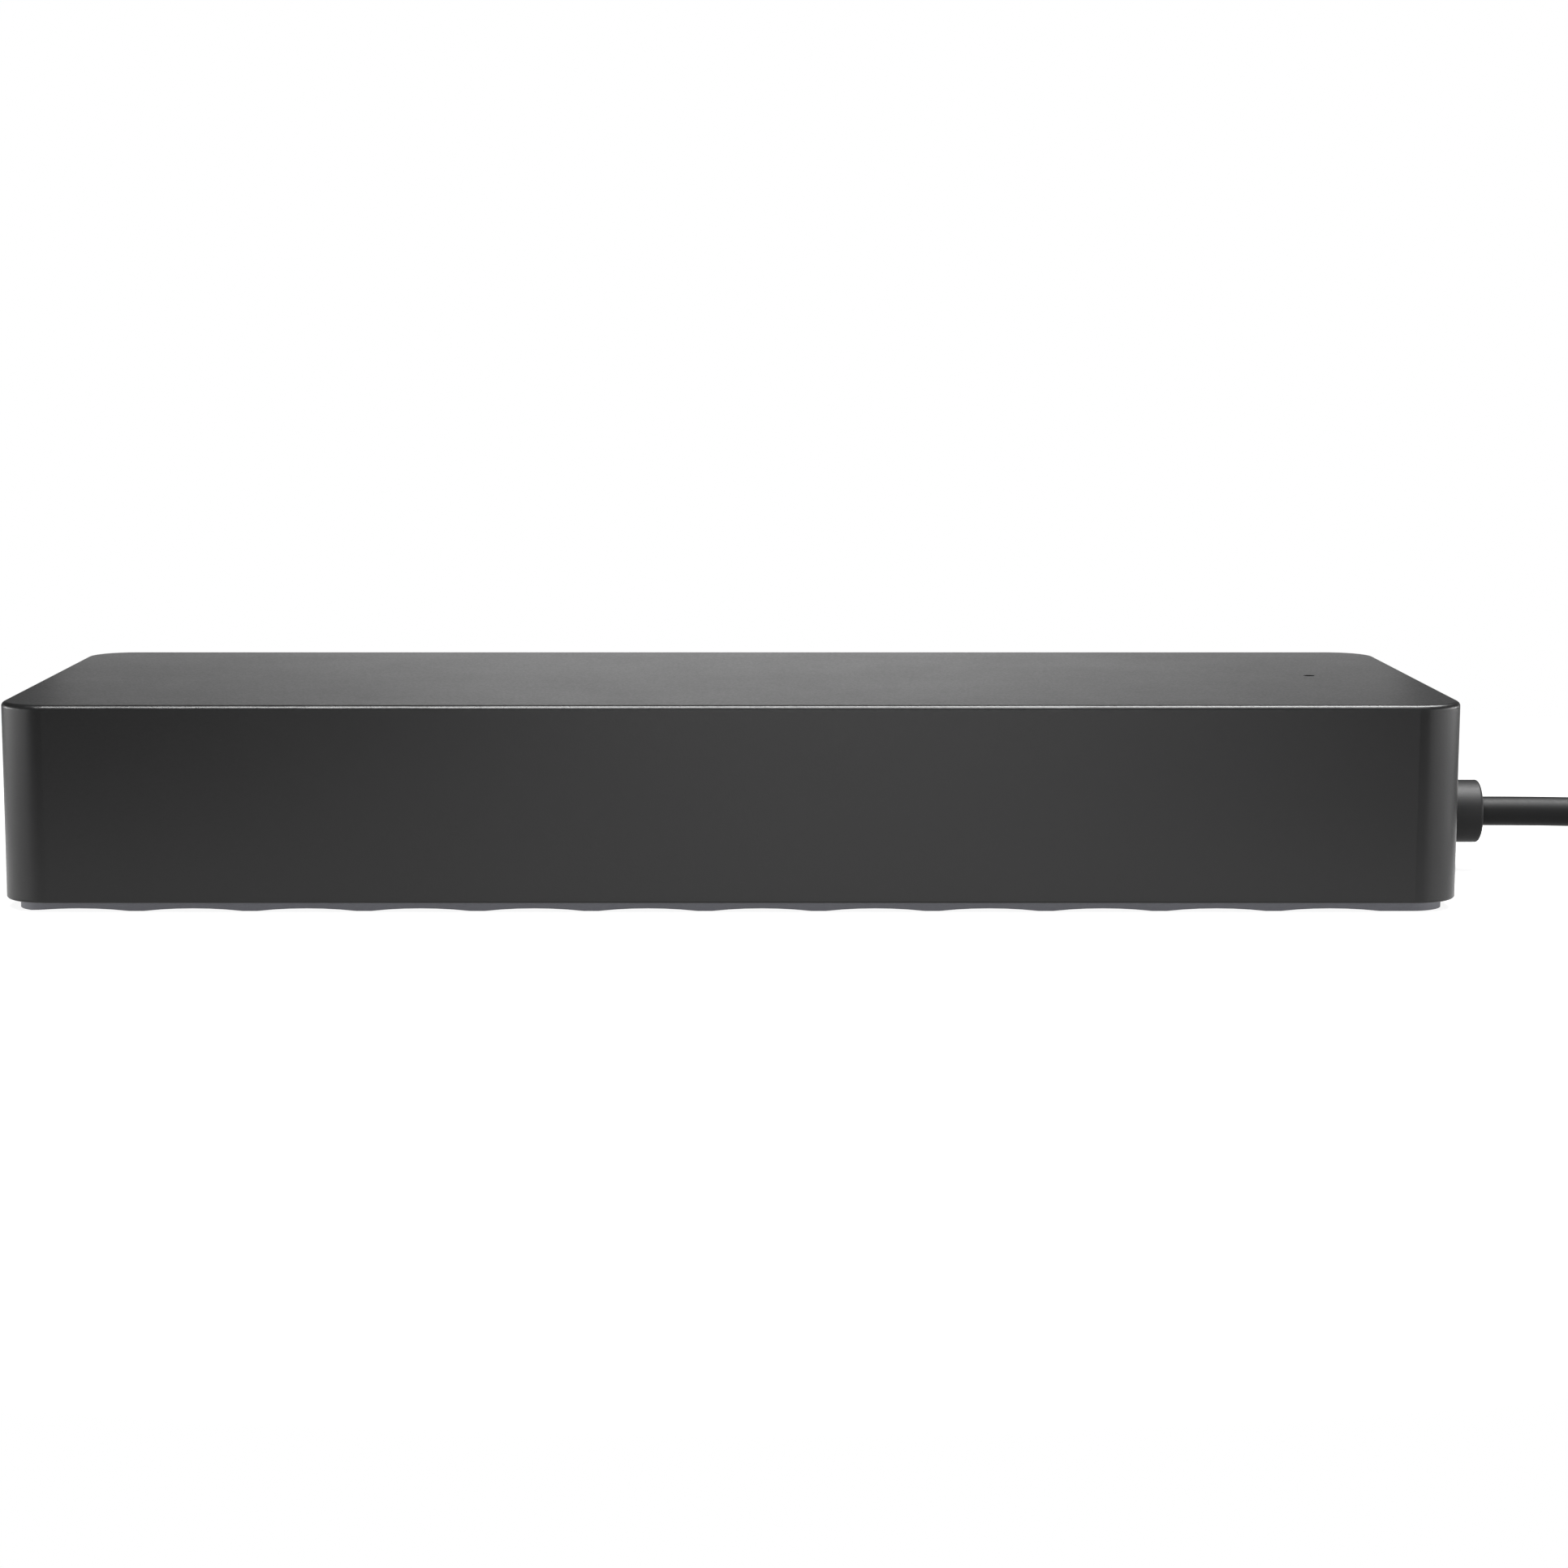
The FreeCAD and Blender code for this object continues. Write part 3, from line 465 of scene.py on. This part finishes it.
def host_lead():
    """The round lead from the collar, through its coil, to the plug."""
    data = bpy.data.curves.new("host_lead", "CURVE")
    data.dimensions = "3D"
    spline = data.splines.new("NURBS")
    route = [*lead_points, *coil_points(), *tail_points]
    spline.points.add(len(route) - 1)
    for point, place in zip(spline.points, route):
        point.co = (*(Vector(place) * MM), 1.0)
    spline.order_u = 3
    spline.use_endpoint_u = True
    data.bevel_depth = cable_diameter / 2
    data.bevel_resolution = 7
    data.resolution_u = 8
    data.use_fill_caps = True
    return add(
        "host_lead", data, "cable_jacket", "host_cable_lead", "host_cable_coil", "host_cable_tail"
    )


lead = host_lead()


def ribbon(name, path, width, thickness):
    """Mesh data of a flat strip that follows path, a list of (y, z), with its width along X."""
    points, faces = [], []
    last = len(path) - 1
    for number, (y, z) in enumerate(path):
        before, after = Vector(path[max(number - 1, 0)]), Vector(path[min(number + 1, last)])
        along = (after - before).normalized() * thickness / 2
        for x in (-width / 2, width / 2):
            points += [(x, y + along.y, z - along.x), (x, y - along.y, z + along.x)]
    for a in range(0, 4 * last, 4):
        b = a + 4
        faces += [
            (a, a + 1, b + 1, b), (a + 2, b + 2, b + 3, a + 3),
            (a, b, b + 2, a + 2), (a + 1, a + 3, b + 3, b + 1),
        ]
    end = 4 * last
    faces += [(0, 2, 3, 1), (end, end + 1, end + 3, end + 2)]
    data = surface(name, points, faces)
    data.set_sharp_from_angle(angle=math.radians(ribbon_crease_deg))
    return data


def soften(piece, width):
    """Rounds a piece's sharp edges."""
    edge = piece.modifiers.new("soft_edges", "BEVEL")
    edge.width, edge.segments = width, 2
    edge.harden_normals = True
    return piece


def strap():
    """Strap round the coil's turns at the back; its loose end leaves the top, bowed a little."""
    path = []
    for step in range(strap_steps + 1):
        angle = 2 * math.pi * step / strap_steps - 1.5 * math.pi
        lift = strap_thickness * step / strap_steps
        path.append((
            -math.cos(angle) * (strap_radius - strap_thickness + lift),
            math.sin(angle) * (strap_radius - strap_thickness + lift),
        ))
    top = path[-1][1]
    for step in range(1, flap_steps + 1):
        along = step / flap_steps
        path.append((flap_length * along, top - flap_sag * along ** 2 + flap_lift * along ** 3))
    data = ribbon("strap", path, strap_width, strap_thickness)
    data.transform(Matrix.Translation(Vector(
        (coil_middle[0], coil_middle[1] + coil_radius, coil_height)
    ) * MM))
    return soften(add("strap", data, "tie_fabric", "cable_tie"), strap_edge)


tie = strap()


# --- Ports ----------------------------------------------------------------------------------

def port_frame(port):
    """Where a port's mouth is: x across it, y out of it, and z up from its underside."""
    low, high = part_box(port + "_shell")
    middle = (low + high) / 2
    if port.startswith("left"):
        return Matrix.Translation((low.x, middle.y, low.z)) @ Matrix.Rotation(math.pi / 2, 4, "Z")
    return Matrix.Translation((middle.x, high.y, low.z))


def shell_springs(port, wall, springs):
    """Leaf springs that bow in from the floor and the roof of a port's metal shell."""
    low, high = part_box(port + "_shell")
    floor, roof = wall + spring_thickness / 2, high.z - low.z - wall - spring_thickness / 2
    for number, (across, width, start, end) in enumerate(springs):
        for side, level, inward in (("floor", floor, 1), ("roof", roof, -1)):
            path = []
            for step in range(spring_steps + 1):
                along = step / spring_steps
                bow = math.sin(math.pi * min(along * spring_stretch, 1.0)) ** 2
                path.append((
                    -(start + (end - start) * along) * MM, level + inward * spring_rise * bow
                ))
            data = ribbon(f"{port}_spring", path, width * MM, spring_thickness)
            data.transform(port_frame(port) @ Matrix.Translation((across * MM, 0, 0)))
            add(f"{port}_{side}_spring_{number}", data, "port_steel")


for port in ("back_type_a_1", "back_type_a_2", "left_type_a"):
    shell_springs(port, type_a_wall, type_a_springs)
for port in ("wide_video_port", "keyed_video_port"):
    shell_springs(port, video_wall, video_springs)


def solid(name, outline, thickness):
    """Mesh data of a flat plate: an outline of (x, z) round it, extruded back from y = 0."""
    count = len(outline)
    points = [(x, 0, z) for x, z in outline] + [(x, -thickness, z) for x, z in outline]
    sides = [(n, (n + 1) % count, count + (n + 1) % count, count + n) for n in range(count)]
    front, back = tuple(range(count)), tuple(range(2 * count - 1, count - 1, -1))
    data = surface(name, points, [front, back, *sides])
    data.set_sharp_from_angle(angle=math.radians(plate_crease_deg))
    return data


def jack_windows():
    """Lens of each lamp, a little proud of the jack's face above the plug's cavity."""
    low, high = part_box("network_jack_insert")
    for number, side in enumerate((-1, 1)):
        x = (low.x + high.x) / 2 + side * window_spread
        z = high.z - window_drop
        outline = [
            (x + sx * window_width / 2, z + sz * window_height / 2)
            for sx, sz in ((-1, -1), (1, -1), (1, 1), (-1, 1))
        ]
        data = solid("jack_window", outline, window_depth)
        data.transform(Matrix.Translation((0, high.y + window_proud, 0)))
        window = soften(add(f"jack_window_{number}", data, "lamp_resin"), window_edge)
        dress(window, lens_resin)


jack_windows()


# --- Table, light and camera ----------------------------------------------------------------

def table_top():
    """Round table top."""
    data = bpy.data.meshes.new("table_top")
    work = bmesh.new()
    bmesh.ops.create_circle(work, cap_ends=True, radius=table_radius, segments=table_sides)
    work.to_mesh(data)
    work.free()
    piece = bpy.data.objects.new("table_top", data)
    bpy.context.scene.collection.objects.link(piece)
    data.materials.append(table_finish())


def soft_light(name, place, aim, size, brightness):
    """Rectangular soft light at place, pointed at aim; brightness is that of a white surface."""
    data = bpy.data.lights.new(name, "AREA")
    data.shape = "RECTANGLE"
    data.size, data.size_y = size
    data.energy = brightness * math.pi * size[0] * size[1]
    piece = bpy.data.objects.new(name, data)
    piece.location = place
    piece.rotation_euler = (Vector(aim) - Vector(place)).to_track_quat("-Z", "Y").to_euler()
    piece.visible_camera = False
    bpy.context.scene.collection.objects.link(piece)


def surroundings():
    """White to look at, but for the object to reflect a room that is dim in front of it, and
    brightest straight behind."""
    world = bpy.data.worlds.new("studio")
    bpy.context.scene.world = world
    world.use_nodes = True
    room = Nodes(world.node_tree)
    way = room.node("ShaderNodeTexCoord", output="Generated")
    sideways = room.span(room.part(way, 0), 0.0, 1.0, -1.0, 1.0)
    back = room.span(room.part(way, 1), 0.0, 1.0, -room_turn, room_turn)
    rise = room.span(room.part(way, 2), *room_rise)
    stops = [((direction + 1) / 2, (brightness,) * 3) for direction, brightness in room_behind]
    behind = room.node("ShaderNodeValToRGB", {"stops": ("B_SPLINE", stops)}, {0: sideways})
    behind = room.node(
        "ShaderNodeVectorMath", {"operation": "SCALE"}, {0: behind, "Scale": rise}
    )
    dim, white = (
        room.node("ShaderNodeBackground", values={"Color": colour})
        for colour in (room.blend(back, (room_in_front,) * 3, behind), (1, 1, 1, 1))
    )
    seen = room.node("ShaderNodeMixShader", values={
        0: room.node("ShaderNodeLightPath", output="Is Camera Ray"), 1: dim, 2: white,
    })
    room.feed(world.node_tree.nodes["World Output"].inputs["Surface"], seen)


def camera():
    """Camera in front of the plain front face, a little above it."""
    data = bpy.data.cameras.new("camera")
    data.lens = camera_lens
    data.sensor_width = camera_sensor
    data.shift_x = camera_shift
    data.clip_start = camera_nearest
    piece = bpy.data.objects.new("camera", data)
    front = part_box("top_shell")[0].y
    piece.location = (0, front - camera_distance, camera_height)
    piece.rotation_euler = (math.radians(90 - camera_pitch_deg), 0, 0)
    bpy.context.scene.collection.objects.link(piece)
    bpy.context.scene.camera = piece


table_top()
surroundings()
for name, place, aim, panel, brightness in soft_lights:
    soft_light(name, place, aim, panel, brightness)
camera()
bpy.context.scene.view_settings.view_transform = "Standard"
